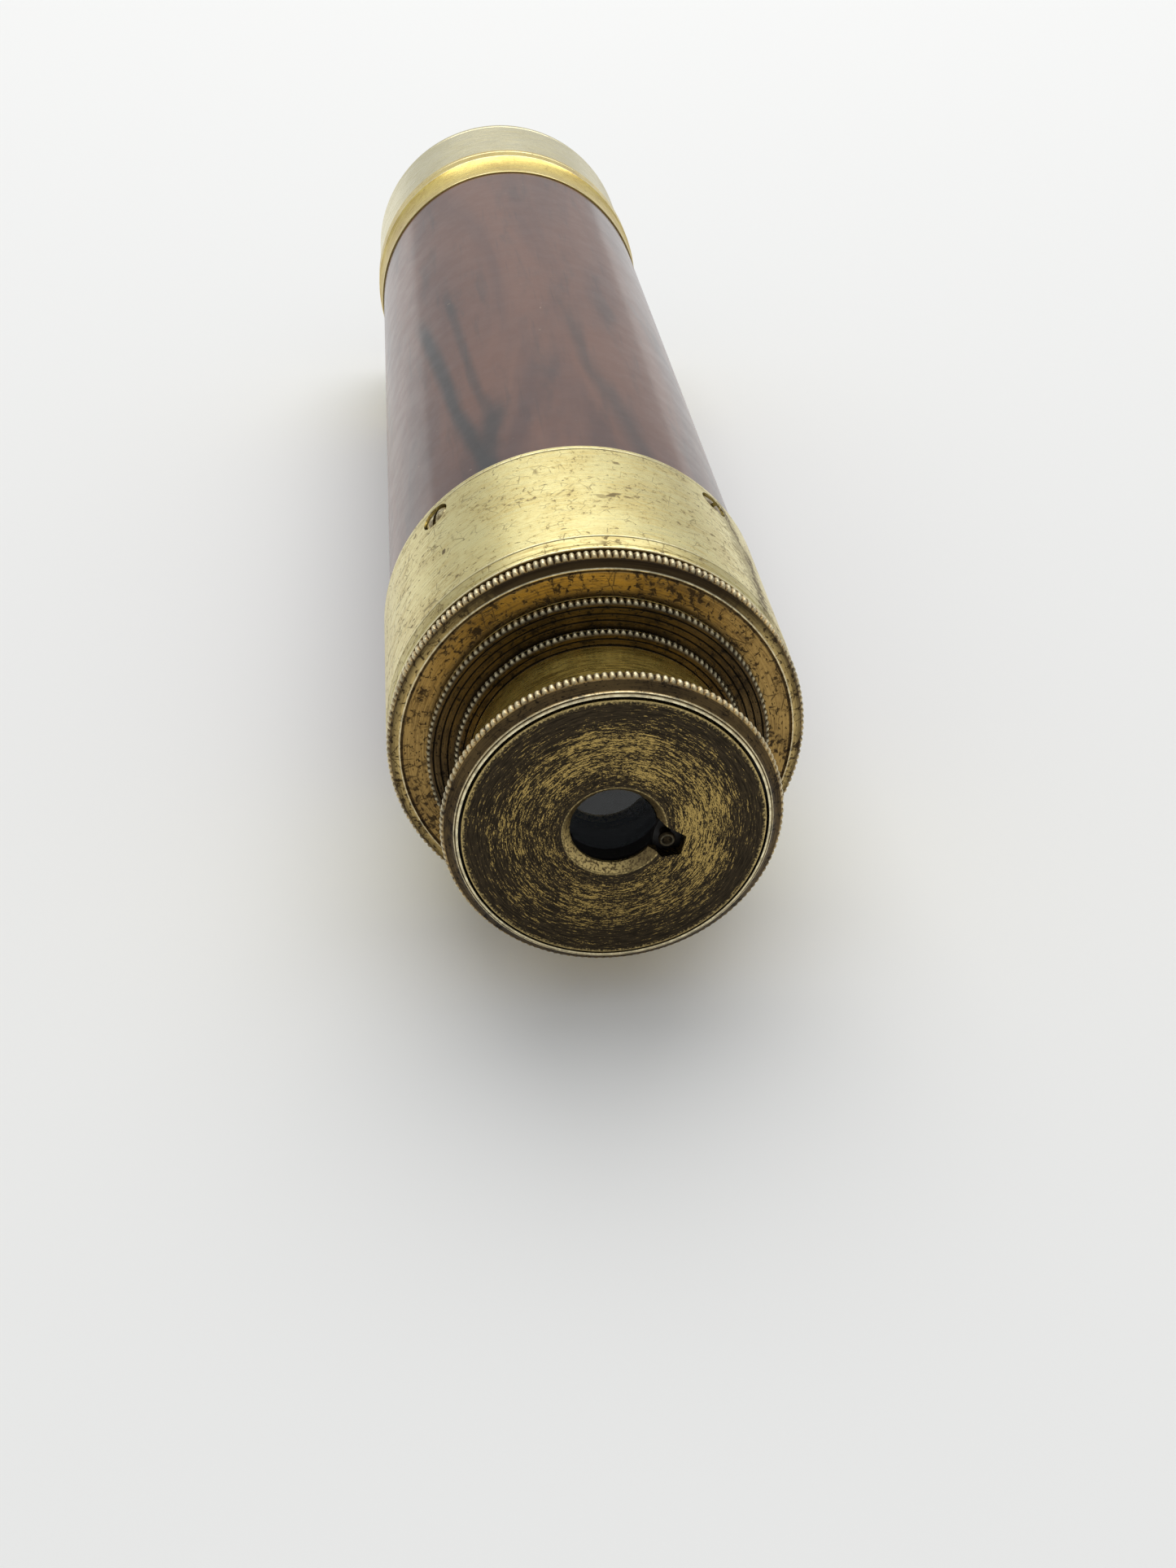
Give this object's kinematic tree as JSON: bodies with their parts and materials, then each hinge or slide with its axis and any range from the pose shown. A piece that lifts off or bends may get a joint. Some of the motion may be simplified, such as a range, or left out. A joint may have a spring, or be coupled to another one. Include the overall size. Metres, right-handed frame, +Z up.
{
  "type": "three-draw hand telescope",
  "caption": "Closed three-draw hand telescope with a polished wooden barrel, brass collar, knurled flanges, sliding draw tubes and a swinging eye shutter.",
  "frame": {"origin": "on the table, under the middle of the closed telescope lying on its side", "axes": "+Y along the optical axis towards the objective, +Z up, +X to the right seen from the eye end"},
  "size_m": [0.042, 0.176, 0.042],
  "materials": {
    "wood": "French polish, worn",
    "brass": "satin, worn polish",
    "aged_brass": "dark patina with worn gold edges",
    "blackened_brass": "matt black lacquer",
    "dark_steel": "blued, dull",
    "glass": "polished, clear"
  },
  "bodies": {
    "barrel": {"wood_barrel": "wood", "eye_end_collar": "brass", "barrel_guide_ring": "brass", "collar_screws": "dark_steel", "objective_flange": "brass", "objective_cell": "brass", "flint_lens": "glass", "crown_lens": "glass", "objective_retainer": "brass"},
    "draw_1": {"draw_1_tube": "brass", "draw_1_flange": "aged_brass", "draw_1_stop_ring": "brass"},
    "draw_2": {"draw_2_tube": "brass", "draw_2_flange": "aged_brass", "draw_2_stop_ring": "brass"},
    "draw_3": {"draw_3_tube": "brass", "draw_3_stop_ring": "brass", "eye_cup": "brass", "eye_plate": "aged_brass", "shutter_pivot_screw": "dark_steel", "eyepiece_cell": "blackened_brass", "eye_lens": "glass", "eye_lens_ring": "blackened_brass", "field_stop": "blackened_brass", "field_lens": "glass", "field_lens_ring": "blackened_brass", "erector_cell": "blackened_brass", "rear_erector_ring": "blackened_brass", "rear_erector_lens": "glass", "erector_stop": "blackened_brass", "front_erector_lens": "glass", "front_erector_ring": "blackened_brass"},
    "shutter": {"shutter_blade": "aged_brass", "shutter_stud": "aged_brass"}
  },
  "joints": [
    {"name": "draw_1_slide", "type": "slide", "parent": "barrel", "child": "draw_1", "axis": [0, -1, 0], "range_m": [0, 0.1119]},
    {"name": "draw_2_slide", "type": "slide", "parent": "draw_1", "child": "draw_2", "axis": [0, -1, 0], "range_m": [0, 0.1136]},
    {"name": "draw_3_slide", "type": "slide", "parent": "draw_2", "child": "draw_3", "axis": [0, -1, 0], "range_m": [0, 0.11355]},
    {"name": "shutter_swing", "type": "hinge", "parent": "draw_3", "child": "shutter", "pos_m": [0.00614, -0.0855, 0.02673], "axis": [0, 1, 0], "range_deg": [0, 62]}
  ]
}
